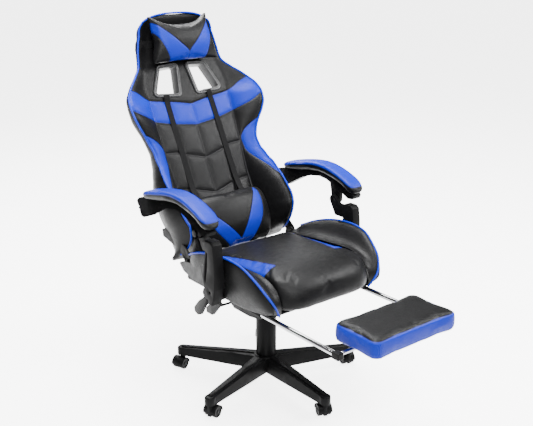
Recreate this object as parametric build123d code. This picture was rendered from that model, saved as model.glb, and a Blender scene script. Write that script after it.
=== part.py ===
from build123d import *
import os
from math import cos, radians, sin

# Gaming chair. Millimetres. +Z is up, the chair faces -Y, and the origin is the gas-lift axis on the floor.
# Left parts are on +X, the sitter's left.

# Base and casters
LEG_COUNT = 5
FIRST_LEG_ANGLE = -163.4
SOCKET_RADIUS = 314
LEG_END_BOTTOM, LEG_END_TOP = 50, 82
HUB_RADIUS, HUB_BOTTOM, HUB_TOP = 41, 44, 101
WHEEL_RADIUS, WHEEL_WIDTH, WHEEL_GAP = 20, 15, 14
HOOD_RADIUS, HOOD_WIDTH = 22.6, 47
CASTER_TRAIL = 14
CASTER_ANGLES = (20, 68, 75, 140, 200)
STEM_RADIUS, AXLE_RADIUS = 5, 3
RUNNING_GAP = 0.06

# Gas column
CYLINDER_RADIUS, PISTON_RADIUS = 25, 14
COVER_RADIUS, COVER_WALL, COVER_TOP = 35, 2, 262
HOUSING_BOTTOM, HOUSING_TOP = 276, 370

# Seat
PAN_BOTTOM, PAN_TOP, PAN_HALF_WIDTH = 398, 404, 213
CUSHION_HALF_WIDTH = 164.8
SEAT_REAR = 98
SEAT_PLATE_X = (213.2, 219.4)
BACK_PLATE_X = (221, 227)
COVER_FRONT, COVER_TURN, COVER_THICKNESS = (269, -26), 9, 6

# Backrest: drawn upright about its pivot, then reclined
PIVOT_Y, PIVOT_Z, RECLINE = 130, 458, 25
SPLIT_X, SPLIT_V, SPLIT_N = 150, 560, -96
FRAME_X, FRAME_N, TUBE_RADIUS = 161, -92, 10
CROSS_TUBES_V = (110, 528)
# height above the pivot, half width, seam half width, then forward distances of the side edge, the centre
# front, the rear side edge and the rear centre
BACK_STATIONS = (
    (14, 216, 150, -66, -46, -98, -104),
    (24, 220, 150, -48, -46, -102, -108),
    (45, 213, 150, 10, -47, -106, -112),
    (64, 214, 152, 34, -48, -107, -114),
    (86, 217, 154, 51, -51, -107, -116),
    (112, 221, 155, 58, -55, -108, -118),
    (148, 228, 155, 49, -60, -113, -123),
    (201, 229, 155, 28, -67, -118, -127),
    (265, 228, 156, -3, -70, -115, -128),
    (330, 217, 160, -35, -70, -106, -122),
    (407, 226, 162, -47, -70, -88, -114),
    (470, 258, 165, -22, -72, -62, -112),
    (535, 274, 165, -18, -75, -52, -112),
    (580, 260, 165, -34, -76, -66, -112),
    (627, 224, 165, -50, -76, -82, -112),
    (690, 171, 150, -72, -78, -98, -112),
    (740, 163, 145, -66, -78, -98, -112),
    (800, 146, 125, -50, -68, -88, -102),
    (845, 115, 95, -34, -45, -70, -80),
    (860, 90, 70, -38, -40, -58, -64),
)
APRON_HALF_WIDTH, APRON_DROP = 146, 26
VENT_CORNERS = ((21, 690), (97, 683), (137, 577), (40, 568))
VENT_CORNER_RADIUS = 15

# Armrests: pivots at the foot, under the pad and at the tail
ARM_FOOT = (-62, 422)
ARM_PIVOT = (-29, 614)
ARM_TAIL = (309, 612)
ARM_INNER_X, ARM_OUTER_X = 271, 305
ARM_SCREW, SCREW_RECESS = (-108, 444), 5
FOOT_LOBE_X = 290
BEAM_INNER_X, BEAM_OUTER_X = 283.4, 318
LUG_OUTER_X, TAIL_OUTER_X = 300.6, 302
PAD_CENTRE_X, PAD_WIDTH = 298, 72
PIN_RADIUS, TAIL_STUD_RADIUS, TAIL_STUD_END, TAIL_HOLE_RADIUS = 6, 3.5, 299, 9.6

# Footrest
RAIL_X, RAIL_Z, RAIL_RADIUS = 195, 383, 8
RAIL_FRONT, RAIL_REAR = -548, -110
SLEEVE_FRONT, SLEEVE_REAR = -225, 168
ROD_Y, ROD_RADIUS = -560, 6
PAD_FRONT, PAD_BACK, PAD_HALF_WIDTH, PAD_TOP, PAD_SPLIT = -680, -508, 170, 455, 406

# Levers
LEVER_X = (-268, -256)
LEVER_ROD_RADIUS, LEVER_ROD_Z = 4, 362
RECLINE_ROD_Y, HEIGHT_ROD_Y = -14, -56


def save(name, shape):
    """Writes one named node."""
    export_step(shape, f"parts/{name}.step")


def block(x0, x1, y0, y1, z0, z1):
    """A box between two corners."""
    return Pos((x0 + x1) / 2, (y0 + y1) / 2, (z0 + z1) / 2) * Box(x1 - x0, y1 - y0, z1 - z0)


def x_rod(radius, y, z, x0, x1):
    """A round bar along X."""
    return Pos((x0 + x1) / 2, y, z) * Rot(0, 90, 0) * Cylinder(radius, x1 - x0)


def y_rod(radius, x, z, y0, y1):
    """A round bar along Y."""
    return Pos(x, (y0 + y1) / 2, z) * Rot(90, 0, 0) * Cylinder(radius, y1 - y0)


def z_rod(radius, x, y, z0, z1):
    """A round bar along Z."""
    return Pos(x, y, (z0 + z1) / 2) * Cylinder(radius, z1 - z0)


def side_slab(points, x0, x1, radius=0):
    """A (y, z) outline made solid from x0 to x1, with rounded corners if asked."""
    edge = FilletPolyline(*points, radius=radius, close=True) if radius else Polyline(*points, close=True)
    return extrude(Plane.YZ.offset(x0) * make_face(edge), x1 - x0)


def plan_slab(points, z0, z1):
    """An (x, y) outline made solid from z0 to z1."""
    return extrude(Plane.XY.offset(z0) * make_face(Polyline(*points, close=True)), z1 - z0)


def mirrored(shape):
    """The same piece on the other side of the chair."""
    return mirror(shape, about=Plane.YZ)


def save_pair(name, left):
    """Writes a left piece and its mirrored right piece."""
    save(f"{name}_left", left)
    save(f"{name}_right", mirrored(left))


def save_group(name, left):
    """Writes a left piece and its mirrored twin on the same body as one node."""
    save(name, Compound([left, mirrored(left)]))


def reclined(shape):
    """Moves a piece from the backrest's upright frame to its place."""
    return Pos(0, PIVOT_Y, PIVOT_Z) * Rot(-RECLINE, 0, 0) * shape


# ---------------------------------------------------------------- base

def leg_section(r, rib, shoulder, skirt, z_bottom, z_top):
    """A leg's cross-section at distance r: a raised rib over a wider body."""
    points = [(-skirt, z_bottom), (skirt, z_bottom), (shoulder, z_top - 6), (rib + 3, z_top - 4), (rib, z_top),
              (-rib, z_top), (-rib - 3, z_top - 4), (-shoulder, z_top - 6)]
    return Plane.YZ.offset(r) * make_face(Polyline(*points, close=True))


def base_leg():
    """One leg along +X with its caster socket."""
    body = loft([leg_section(26, 10, 25, 27, HUB_BOTTOM + 2, HUB_TOP - 0.5),
                 leg_section(120, 9, 20, 22, HUB_BOTTOM + 1, HUB_TOP - 5),
                 leg_section(SOCKET_RADIUS, 7, 15, 17, LEG_END_BOTTOM, LEG_END_TOP)], ruled=True)
    boss = z_rod(18, SOCKET_RADIUS, 0, LEG_END_BOTTOM, LEG_END_TOP - 4)
    return body + fillet(boss.edges().group_by(Axis.Z)[-1], 5)


def leg_angles():
    return [FIRST_LEG_ANGLE + i * 360 / LEG_COUNT for i in range(LEG_COUNT)]


def base_star():
    """Hub with five legs, a bore for the gas cylinder and a socket under each leg end."""
    star = z_rod(HUB_RADIUS, 0, 0, HUB_BOTTOM, HUB_TOP)
    for angle in leg_angles():
        star += Rot(0, 0, angle) * base_leg()
    star -= z_rod(CYLINDER_RADIUS, 0, 0, HUB_BOTTOM - 5, HUB_TOP + 5)
    for angle in leg_angles():
        star -= Rot(0, 0, angle) * z_rod(STEM_RADIUS, SOCKET_RADIUS, 0, LEG_END_BOTTOM - 5, LEG_END_TOP - 10)
    return star


def caster_stems():
    """Grip stems fixed in the leg sockets, one group."""
    stem = z_rod(STEM_RADIUS, SOCKET_RADIUS, 0, 30, LEG_END_TOP - 10.5)
    return Compound([Rot(0, 0, angle) * stem for angle in leg_angles()])


def caster_hood():
    """A caster's body in its own frame: stem axis at the origin, wheels behind along +X."""
    axle = (CASTER_TRAIL, WHEEL_RADIUS)
    shell = Pos(axle[0], 0, axle[1]) * Rot(90, 0, 0) * Cylinder(HOOD_RADIUS, HOOD_WIDTH)
    cavity = Pos(axle[0], 0, axle[1]) * Rot(90, 0, 0) * Cylinder(WHEEL_RADIUS + 0.8, HOOD_WIDTH + 2)
    web = block(-8, axle[0] + WHEEL_RADIUS - 4, -WHEEL_GAP / 2 + 0.8, WHEEL_GAP / 2 - 0.8, 7, 36)
    neck = z_rod(9, 0, 0, 24, LEG_END_BOTTOM - 1)
    crown = (shell - cavity) & block(-40, 60, -40, 40, WHEEL_RADIUS - 2, 60)
    wheel_room = Pos(axle[0], 0, axle[1]) * Rot(90, 0, 0) * Cylinder(WHEEL_RADIUS + 0.8, HOOD_WIDTH)
    wheel_room -= block(-40, 60, -WHEEL_GAP / 2 + 0.4, WHEEL_GAP / 2 - 0.4, -10, 60)
    body = crown + web + (neck - wheel_room)
    body -= z_rod(STEM_RADIUS + RUNNING_GAP, 0, 0, 29.5, 60)
    return body - (Pos(axle[0], 0, axle[1]) * Rot(90, 0, 0) * Cylinder(AXLE_RADIUS, 60))


def caster_axle():
    return Pos(CASTER_TRAIL, 0, WHEEL_RADIUS) * Rot(90, 0, 0) * Cylinder(AXLE_RADIUS, WHEEL_GAP + 2 * WHEEL_WIDTH)


def caster_wheels():
    """Two treaded wheels on one axle."""
    wheel = Cylinder(WHEEL_RADIUS, WHEEL_WIDTH)
    wheel = fillet(wheel.edges(), 2.5)
    wheel -= Cylinder(AXLE_RADIUS + RUNNING_GAP, WHEEL_WIDTH + 2)
    wheel -= Pos(0, 0, WHEEL_WIDTH / 2) * (Cylinder(14, 4) - Cylinder(6, 6))
    offset = (WHEEL_GAP + WHEEL_WIDTH) / 2
    outer = Pos(CASTER_TRAIL, -offset, WHEEL_RADIUS) * Rot(90, 0, 0) * wheel
    inner = Pos(CASTER_TRAIL, offset, WHEEL_RADIUS) * Rot(-90, 0, 0) * wheel
    return Compound([outer, inner])


def casters():
    """Each caster at its leg end, trailing in its own direction."""
    for number, (leg, trail) in enumerate(zip(leg_angles(), CASTER_ANGLES), start=1):
        place = Pos(SOCKET_RADIUS * cos(radians(leg)), SOCKET_RADIUS * sin(radians(leg)), 0) * Rot(0, 0, trail)
        save(f"caster_{number}_hood", place * caster_hood())
        save(f"caster_{number}_axle", place * caster_axle())
        save(f"caster_{number}_wheels", place * caster_wheels())


# ---------------------------------------------------------------- column and mechanism

def column():
    """Gas cylinder in the hub, piston up into the mechanism, and two telescoping covers."""
    cylinder = z_rod(CYLINDER_RADIUS, 0, 0, HUB_BOTTOM, 240)
    save("gas_cylinder", cylinder - z_rod(PISTON_RADIUS + RUNNING_GAP, 0, 0, 60, 241))
    save("gas_piston", z_rod(PISTON_RADIUS, 0, 0, 80, HOUSING_BOTTOM + 30))
    lower = z_rod(COVER_RADIUS, 0, 0, HUB_TOP, COVER_TOP)
    save("column_cover_lower", lower - z_rod(COVER_RADIUS - COVER_WALL, 0, 0, HUB_TOP - 1, COVER_TOP + 1))
    upper_radius = COVER_RADIUS - COVER_WALL - 0.5
    upper = z_rod(upper_radius, 0, 0, 120, HOUSING_BOTTOM)
    save("column_cover_upper", upper - z_rod(upper_radius - COVER_WALL, 0, 0, 119, HOUSING_BOTTOM + 1))


def mechanism_housing():
    """Folded steel mechanism box with a socket for the piston and bores for the lever rods."""
    outline = [(-122, HOUSING_TOP), (-122, 318), (-106, 300), (-84, 284), (-30, HOUSING_BOTTOM),
               (55, HOUSING_BOTTOM), (104, 306), (118, HOUSING_TOP)]
    body = side_slab(outline, -95, 95, 6)
    body -= z_rod(PISTON_RADIUS + RUNNING_GAP, 0, 0, HOUSING_BOTTOM - 1, HOUSING_BOTTOM + 31)
    for y in (RECLINE_ROD_Y, HEIGHT_ROD_Y):
        body -= x_rod(LEVER_ROD_RADIUS + RUNNING_GAP, y, LEVER_ROD_Z, -96, -69)
    return body


def mechanism_top():
    """Flange and two cross bars between the mechanism and the seat pan."""
    flange = block(-130, 130, -118, 112, HOUSING_TOP, HOUSING_TOP + 5)
    bars = block(-150, 150, -112, -76, HOUSING_TOP + 5, PAN_BOTTOM) + block(-150, 150, 70, 106, HOUSING_TOP + 5,
                                                                           PAN_BOTTOM)
    return flange + bars


def lever(outline, rod_y):
    """A flat moulded paddle on the end of its steel rod."""
    paddle = side_slab(outline, *LEVER_X, radius=4)
    paddle = chamfer(paddle.edges().group_by(Axis.X)[0], 2)
    return paddle + x_rod(LEVER_ROD_RADIUS, rod_y, LEVER_ROD_Z, LEVER_X[1] - 1, -70)


def levers():
    recline = [(-34, 396), (-18, 390), (14, 366), (40, 336), (37, 320), (20, 314), (4, 320), (-36, 384)]
    height = [(-110, 397), (-92, 398), (-54, 382), (-29, 358), (-32, 342), (-62, 342)]
    save("recline_lever", lever(recline, RECLINE_ROD_Y))
    save("height_lever", lever(height, HEIGHT_ROD_Y))


# ---------------------------------------------------------------- seat

def seat_pan():
    """Steel plate under the cushions."""
    return block(-PAN_HALF_WIDTH, PAN_HALF_WIDTH, -290, SEAT_REAR, PAN_BOTTOM, PAN_TOP)


def seat_cushion():
    """Centre cushion: plain stand-in with a waterfall front."""
    outline = [(SEAT_REAR, 404.5), (-292, 404.5), (-296, 396), (-336, 398), (-352, 428), (-352, 455),
               (-338, 484), (-305, 505), (-200, 513), (-60, 506), (40, 494), (SEAT_REAR, 484)]
    return side_slab(outline, -CUSHION_HALF_WIDTH, CUSHION_HALF_WIDTH)


def seat_bracket_outline():
    return [(20, 399), (118, 399), (152, 440), (157, 458), (150, 476), (130, 484), (110, 476), (100, 455),
            (62, 426), (20, 420)]


def seat_bolster():
    """Left side bolster: side outline, plan outline and sloping top crossed together."""
    side = [(100, 404.5), (-292, 404.5), (-296, 398), (-318, 400), (-336, 432), (-326, 457), (-292, 498),
            (-245, 528), (-200, 545), (-150, 553), (-80, 546), (0, 528), (60, 512), (100, 492)]
    inner = CUSHION_HALF_WIDTH + 0.5
    plan = [(inner, 100), (236, 100), (249, 40), (257, -30), (262, -150), (252, -230), (228, -290), (190, -338),
            (inner, -338)]
    slope = [(inner, 380), (265, 380), (265, 560), (246, 560), (inner, 510)]
    wedge = extrude(Plane.XZ.offset(-120) * make_face(Polyline(*slope, close=True)), 480)
    bolster = side_slab(side, inner, 264) & plan_slab(plan, 380, 560) & wedge
    bolster -= block(PAN_HALF_WIDTH - 0.5, 270, -232, 101, 400, 418)
    room = side_slab(seat_bracket_outline(), SEAT_PLATE_X[0] - 0.5, SEAT_PLATE_X[1] + 0.5)
    return bolster - room - x_rod(29, PIVOT_Y, PIVOT_Z, SEAT_PLATE_X[0], BACK_PLATE_X[1] + 6)


def seat_recliner_plate():
    """Steel plate on the seat with the recline bore."""
    plate = side_slab(seat_bracket_outline(), *SEAT_PLATE_X)
    return plate - x_rod(PIN_RADIUS + RUNNING_GAP, PIVOT_Y, PIVOT_Z, 200, 230)


def recliner_cover():
    """Moulded side cover over the hinge: a thin dished shell that runs inward to a pointed rear end."""
    outline = [(0, 506), (27, 490), (86, 477), (160, 460), (186, 449), (188, 441), (158, 426), (102, 421), (0, 426)]
    inside = [(4, 498), (28, 486), (86, 473), (158, 456), (178, 446), (156, 431), (102, 425), (4, 430)]
    cover = side_slab(outline, -COVER_THICKNESS, 0, 4)
    cover -= side_slab(inside, -COVER_THICKNESS - 1, -COVER_THICKNESS / 2)
    return Pos(COVER_FRONT[0], COVER_FRONT[1], 0) * Rot(0, 0, COVER_TURN) * cover


def seat():
    save("seat_pan", seat_pan())
    save("seat_cushion", seat_cushion())
    save_pair("seat_bolster", seat_bolster())
    save_group("seat_recliner_plates", seat_recliner_plate())
    save_group("recliner_covers", recliner_cover())


# ---------------------------------------------------------------- backrest

def back_section(station, grow=0):
    """One level cross-section of the upholstered backrest, as (x, y) with forward as -y."""
    _, half, seam, edge, front, rear_edge, rear = station
    right = [(seam, -front - grow), (half + grow, -edge - grow), (half - 8 + grow, -rear_edge + grow),
             (seam, -rear + grow)]
    return right + [(-x, y) for x, y in reversed(right)]


def back_body():
    """The whole upholstered outline, before it is split."""
    faces = [Plane.XY.offset(s[0]) * make_face(Polyline(*back_section(s), close=True)) for s in BACK_STATIONS]
    bottom = BACK_STATIONS[0][0]
    apron = back_region(-APRON_HALF_WIDTH, APRON_HALF_WIDTH, -98, -50, bottom - APRON_DROP, bottom + 2)
    return loft(faces, ruled=True) + apron


def back_region(x0, x1, n0, n1, v0, v1):
    """A box in the backrest's frame: n is forward."""
    return block(x0, x1, -n1, -n0, v0, v1)


def back_frame(grow=0.0):
    """Steel tube frame inside the backrest; grown, it is the room that the foam leaves for it."""
    y = -FRAME_N
    side = z_rod(TUBE_RADIUS + grow, FRAME_X, y, CROSS_TUBES_V[0] - 42, CROSS_TUBES_V[1] + 4)
    lower = x_rod(TUBE_RADIUS - 2 + grow, y, CROSS_TUBES_V[0], -BACK_PLATE_X[0], BACK_PLATE_X[0])
    upper = x_rod(TUBE_RADIUS - 2 + grow, y, CROSS_TUBES_V[1], -FRAME_X, FRAME_X)
    return side + mirrored(side) + lower + upper


def back_recliner_plate(grow=0.0):
    """Steel arm from the hinge up to the frame's lower cross tube."""
    outline = [(-18, -8), (0, -20), (18, -8), (34, 40), (118, 104), (112, 128), (84, 128), (-4, 46), (-18, 20)]
    return side_slab(outline, BACK_PLATE_X[0] - grow, BACK_PLATE_X[1] + grow)


def tail_mount():
    """Where the armrest tail meets the backrest, in the backrest's frame (y, z)."""
    dy, dz = ARM_TAIL[0] - PIVOT_Y, ARM_TAIL[1] - PIVOT_Z
    c, s = cos(radians(RECLINE)), sin(radians(RECLINE))
    return c * dy - s * dz, s * dy + c * dz


def tail_studs():
    """Tube across the frame with a thin stud at each end for the armrest tails."""
    y, z = tail_mount()
    reach = BEAM_INNER_X - 3
    return x_rod(8, y, z, -reach, reach) + x_rod(TAIL_STUD_RADIUS, y, z, -TAIL_STUD_END, TAIL_STUD_END)


def vent_prism(inset, n0, n1):
    """A harness slot's outline, inset all round, through a range of depth."""
    edge = FilletPolyline(*VENT_CORNERS, radius=VENT_CORNER_RADIUS, close=True)
    face = make_face(edge)
    if inset:
        face = offset(face, amount=-inset)
    return extrude(Plane.XZ.offset(n0) * face, n1 - n0)


def vent_bezel():
    """Lining of a harness slot with a front and a rear lip."""
    ring = vent_prism(4, -113, -72) + vent_prism(0, -75.6, -70) + vent_prism(0, -117, -112.4)
    return ring - vent_prism(10, -120, -60)


def back_parts():
    """Foam and upholstery split into the pieces that are sewn or glued together, round the steel parts."""
    body = back_body()
    y, z = tail_mount()
    room = back_frame(0.4) + x_rod(8.4, y, z, -300, 300)
    plate_room = back_recliner_plate(0.6)
    plate_room += x_rod(26, 0, 0, BACK_PLATE_X[0] - 9, BACK_PLATE_X[1] + 8)
    side_box = back_region(SPLIT_X + 0.3, 300, -200, 100, 0, SPLIT_V)
    left = (body & side_box) - room - plate_room
    centre = (body & back_region(-SPLIT_X, SPLIT_X, SPLIT_N + 0.3, 100, -APRON_DROP, SPLIT_V)) - room
    rear = (body & back_region(-SPLIT_X, SPLIT_X, -200, SPLIT_N, -APRON_DROP, SPLIT_V)) - room
    head = body & back_region(-300, 300, -200, 100, SPLIT_V + 0.3, 900)
    hole = vent_prism(3.6, -150, -20)
    head = head - hole - mirrored(hole)
    save_pair("back_bolster", reclined(left))
    save("back_cushion", reclined(centre))
    save("back_rear_panel", reclined(rear))
    save("back_head", reclined(head))
    return body


def head_pillow():
    """Head pillow stand-in that follows the curve of the backrest's head."""
    outline = [(54, 692), (66, 745), (54, 800), (32, 838), (20, 846), (3, 836), (-13, 790), (-15, 735),
               (10, 690), (40, 682)]
    return side_slab(outline, -134, 134)


def head_strap(body):
    """Elastic band round the backrest's head behind the pillow."""
    station = (762, 158, 138, -60, -74, -94, -108)
    band = extrude(Plane.XY.offset(748) * make_face(Polyline(*back_section(station, 5), close=True)), 28)
    pillow_room = back_region(-138, 138, -84, 50, 700, 800) + back_region(-200, 200, -70, 50, 700, 800)
    return band - Pos(0, 0.3, 0) * body - Pos(0, -0.3, 0) * body - pillow_room


def lumbar_pillow():
    """Lumbar pillow stand-in against the lower backrest."""
    outline = [(22, 24), (32, 40), (41, 60), (51, 110), (61, 183), (63, 203), (20, 205), (-15, 188),
               (-38, 140), (-44, 90), (-36, 42), (-8, 16)]
    return side_slab(outline, -138, 138)


def lumbar_straps():
    """Two straps from the pillow, up the front, through the slots and down the rear."""
    outer = [(65, 206), (67, 265), (67, 407), (69, 470), (72, 535), (69, 553), (61, 562), (61, 587), (121, 587),
             (121, 552), (115, 530), (115, 470), (117, 407), (123, 350), (131, 265), (131, 183), (121, 110)]
    inner = [(119.5, 110.5), (129.5, 183), (129.5, 265), (121.5, 350), (115.5, 407), (113.5, 470),
             (113.5, 530.5), (119.5, 552.5), (119.5, 585.5), (62.5, 585.5), (62.5, 562.6), (70.5, 554),
             (73.5, 535), (70.5, 470), (68.5, 407), (68.5, 265), (66.5, 206)]
    strap = side_slab(outer + inner, 84, 106)
    return Compound([strap, mirrored(strap)])


def backrest():
    body = back_parts()
    save("back_frame", reclined(back_frame() + tail_studs()))
    plate = back_recliner_plate() - x_rod(PIN_RADIUS, 0, 0, 200, 240)
    save_group("back_recliner_plates", reclined(plate))
    save("recliner_shaft", x_rod(PIN_RADIUS, PIVOT_Y, PIVOT_Z, -232, 232))
    save_group("vent_bezels", reclined(vent_bezel()))
    save("head_pillow", reclined(head_pillow()))
    save("head_strap", reclined(head_strap(body)))
    save("lumbar_pillow", reclined(lumbar_pillow()))
    save("lumbar_straps", reclined(lumbar_straps()))


# ---------------------------------------------------------------- armrests

def arm_foot_brackets():
    """Steel angles under the seat with the pin that each upright turns on, one group."""
    plate = block(PAN_HALF_WIDTH, 269, -95, -30, 404, 412) + block(263.5, 269, -95, -30, 404, 444)
    bracket = plate + x_rod(PIN_RADIUS, *ARM_FOOT, 268, FOOT_LOBE_X - 3)
    return Compound([bracket, mirrored(bracket)])


def arm_upright():
    """Moulded upright with a long recess, a screw hole, a foot lobe and an ear for the beam's pivot."""
    outline = [(-72, 600), (-84, 574), (-76, 523), (-70, 490), (-74, 456), (-90, 428), (-98, 402), (-118, 402),
               (-127, 425), (-134, 458), (-136, 500), (-134, 556), (-128, 600), (-116, 609), (-86, 609)]
    body = side_slab(outline, ARM_INNER_X, ARM_OUTER_X, 5)
    body = chamfer(body.edges().group_by(Axis.X)[-1], 3)
    body -= x_rod(25, *ARM_PIVOT, BEAM_INNER_X - 0.6, ARM_OUTER_X + 1)
    ear = side_slab([(-96, 560), (-42, 560), (-13, 610), (-17, 624), (-29, 630), (-41, 624), (-62, 604),
                     (-96, 604)], ARM_INNER_X, BEAM_INNER_X - 0.6)
    lobe = side_slab([(-74, 406), (-98, 404), (-100, 452), (-76, 456), (-52, 438), (-46, 422), (-54, 408)],
                     ARM_INNER_X, FOOT_LOBE_X)
    groove = side_slab([(-98, 570), (-92, 572), (-85, 520), (-80, 480), (-86, 470), (-97, 520)],
                       ARM_OUTER_X - 4, ARM_OUTER_X + 1)
    body = body + ear + lobe - groove - x_rod(SCREW_RECESS, *ARM_SCREW, ARM_OUTER_X - 6, ARM_OUTER_X + 1)
    body -= x_rod(PIN_RADIUS + RUNNING_GAP, *ARM_FOOT, ARM_INNER_X - 1, FOOT_LOBE_X - 2)
    return body - x_rod(PIN_RADIUS, *ARM_PIVOT, ARM_INNER_X - 1, BEAM_INNER_X)


def arm_beam():
    """Moulded arched beam under the pad, with a drop-shaped pivot lug and a thinner tail over the stud."""
    outline = [(317, 637), (303, 650), (242, 666), (191, 676), (146, 684), (106, 690), (49, 697), (6, 695),
               (-35, 684), (-76, 664), (-111, 652), (-119, 641), (-112, 629), (-90, 627), (-66, 638), (-40, 648),
               (-9, 662), (22, 672), (54, 675), (99, 668), (146, 652), (183, 632), (232, 604), (275, 587),
               (292, 589)]
    body = side_slab(outline, BEAM_INNER_X, BEAM_OUTER_X, 2)
    body -= plan_slab([(BEAM_OUTER_X + 1, 110), (TAIL_OUTER_X, 250), (TAIL_OUTER_X, 400), (BEAM_OUTER_X + 1, 400)],
                      500, 800)
    lug = side_slab([(-47, 614), (-46, 652), (0, 668), (-11, 614)], BEAM_INNER_X, LUG_OUTER_X)
    body = body + lug + x_rod(18, *ARM_PIVOT, BEAM_INNER_X, LUG_OUTER_X)
    body -= x_rod(PIN_RADIUS + RUNNING_GAP, *ARM_PIVOT, BEAM_INNER_X - 1, LUG_OUTER_X + 1)
    return body - x_rod(TAIL_HOLE_RADIUS, *ARM_TAIL, BEAM_INNER_X - 1, TAIL_OUTER_X + 1)


def arm_pivot_bolt():
    """Shouldered bolt that holds the beam on the upright."""
    shank = x_rod(PIN_RADIUS, *ARM_PIVOT, ARM_INNER_X + 1, LUG_OUTER_X + 0.4)
    return shank + x_rod(11, *ARM_PIVOT, LUG_OUTER_X + 0.4, LUG_OUTER_X + 4)


def arm_pad():
    """Soft armrest pad stand-in along the beam."""
    outline = [(256, 680), (198, 697), (150, 708), (104, 717), (59, 723), (16, 722), (-26, 714), (-67, 701),
               (-97, 687), (-120, 670), (-130, 655), (-127, 647), (-111, 654), (-76, 666.5), (-35, 686.5),
               (6, 697.5), (49, 699.5), (106, 692.5), (146, 686.5), (191, 678.5), (250, 666.5), (258, 670)]
    slab = side_slab(outline, PAD_CENTRE_X - PAD_WIDTH / 2, PAD_CENTRE_X + PAD_WIDTH / 2)
    plan = Pos(PAD_CENTRE_X, 65, 600) * extrude(RectangleRounded(PAD_WIDTH, 392, 28), 160)
    return slab & plan


def armrests():
    save("arm_foot_brackets", arm_foot_brackets())
    save_pair("arm_upright", arm_upright())
    save_pair("arm_beam", arm_beam())
    save_pair("arm_pivot_bolt", arm_pivot_bolt())
    save_pair("arm_pad", arm_pad())


# ---------------------------------------------------------------- footrest

def rail_sleeves():
    """Two guide tubes hung under the seat pan, one group."""
    tube = y_rod(11, RAIL_X, RAIL_Z, SLEEVE_FRONT, SLEEVE_REAR)
    for y in (-190, 60):
        tube += block(RAIL_X - 6, RAIL_X + 6, y - 15, y + 15, RAIL_Z, PAN_BOTTOM)
    tube -= y_rod(RAIL_RADIUS + RUNNING_GAP, RAIL_X, RAIL_Z, SLEEVE_FRONT - 1, SLEEVE_REAR + 1)
    return Compound([tube, mirrored(tube)])


def footrest():
    save("rail_sleeves", rail_sleeves())
    rail = y_rod(RAIL_RADIUS, RAIL_X, RAIL_Z, RAIL_FRONT, RAIL_REAR)
    rail = chamfer(rail.edges(), 1)
    save("footrest_rails", Compound([rail, mirrored(rail)]))
    cap = block(RAIL_X - 11, RAIL_X + 11, -576, RAIL_FRONT, RAIL_Z - 11, RAIL_Z + 10)
    cap = fillet(cap.edges(), 3)
    save("rail_end_caps", Compound([cap, mirrored(cap)]))
    save("footrest_cross_rod", x_rod(ROD_RADIUS, ROD_Y, RAIL_Z, -RAIL_X + 11, RAIL_X - 11))
    clamp = x_rod(11, ROD_Y, RAIL_Z, 56, 84) + block(52, 88, ROD_Y - 40, ROD_Y + 24, 393, 398)
    clamp += block(58, 82, ROD_Y - 10, ROD_Y + 10, RAIL_Z, 394)
    clamp -= x_rod(ROD_RADIUS + RUNNING_GAP, ROD_Y, RAIL_Z, 50, 90)
    save("footrest_brackets", Compound([clamp, mirrored(clamp)]))
    inset = 5
    board = block(-PAD_HALF_WIDTH + inset, PAD_HALF_WIDTH - inset, PAD_FRONT + inset, PAD_BACK - inset, 398,
                  PAD_SPLIT)
    save("footrest_board", board)
    pad = block(-PAD_HALF_WIDTH, PAD_HALF_WIDTH, PAD_FRONT, PAD_BACK, PAD_SPLIT, PAD_TOP)
    save("footrest_pad", fillet(pad.edges().filter_by(Axis.Z), 28))


def main():
    os.makedirs("parts", exist_ok=True)
    save("base_star", base_star())
    save("caster_stems", caster_stems())
    casters()
    column()
    save("mechanism_housing", mechanism_housing())
    save("mechanism_top", mechanism_top())
    levers()
    seat()
    backrest()
    armrests()
    footrest()


main()
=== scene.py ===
from math import atan2, cos, pi, radians, sin

import bmesh
import bpy
import numpy as np
from mathutils import Matrix, Vector


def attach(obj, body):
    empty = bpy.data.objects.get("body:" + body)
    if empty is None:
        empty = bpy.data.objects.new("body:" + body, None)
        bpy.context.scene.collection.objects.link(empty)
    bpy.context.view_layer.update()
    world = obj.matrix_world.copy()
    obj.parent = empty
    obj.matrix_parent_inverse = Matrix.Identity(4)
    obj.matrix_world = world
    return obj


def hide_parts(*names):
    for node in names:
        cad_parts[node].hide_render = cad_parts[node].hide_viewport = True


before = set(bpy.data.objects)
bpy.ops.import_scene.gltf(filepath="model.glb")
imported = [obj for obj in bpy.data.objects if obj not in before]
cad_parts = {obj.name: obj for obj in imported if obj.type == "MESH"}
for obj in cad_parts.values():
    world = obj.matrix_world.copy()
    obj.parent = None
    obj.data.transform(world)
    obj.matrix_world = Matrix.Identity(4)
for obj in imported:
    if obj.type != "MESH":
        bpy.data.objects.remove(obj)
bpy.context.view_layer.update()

# Work is in millimetres and turned into metres where meshes are made. Left is +X, the sitter's left.
# Places on the backrest are x sideways, v up the back from its hinge and n forward out of it.
MM = 0.001
PIVOT_Y, PIVOT_Z, RECLINE = 130.0, 458.0, radians(25)
BLACK, BLUE = (0.0015, 0.0015, 0.0016), (0.0004, 0.0052, 0.125)
PIPING_BLUE = (0.0005, 0.008, 0.17)
# Near-black painted shade laid along the sewn creases of the seams.
SEAM_SHADE_COLOUR = (0.004, 0.004, 0.005)
PIPING_RADIUS, SEAT_PIPING_RADIUS = 3.4, 3.3
PAINT_LIMIT = 8


# ---------------------------------------------------------------- shape helpers

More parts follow.
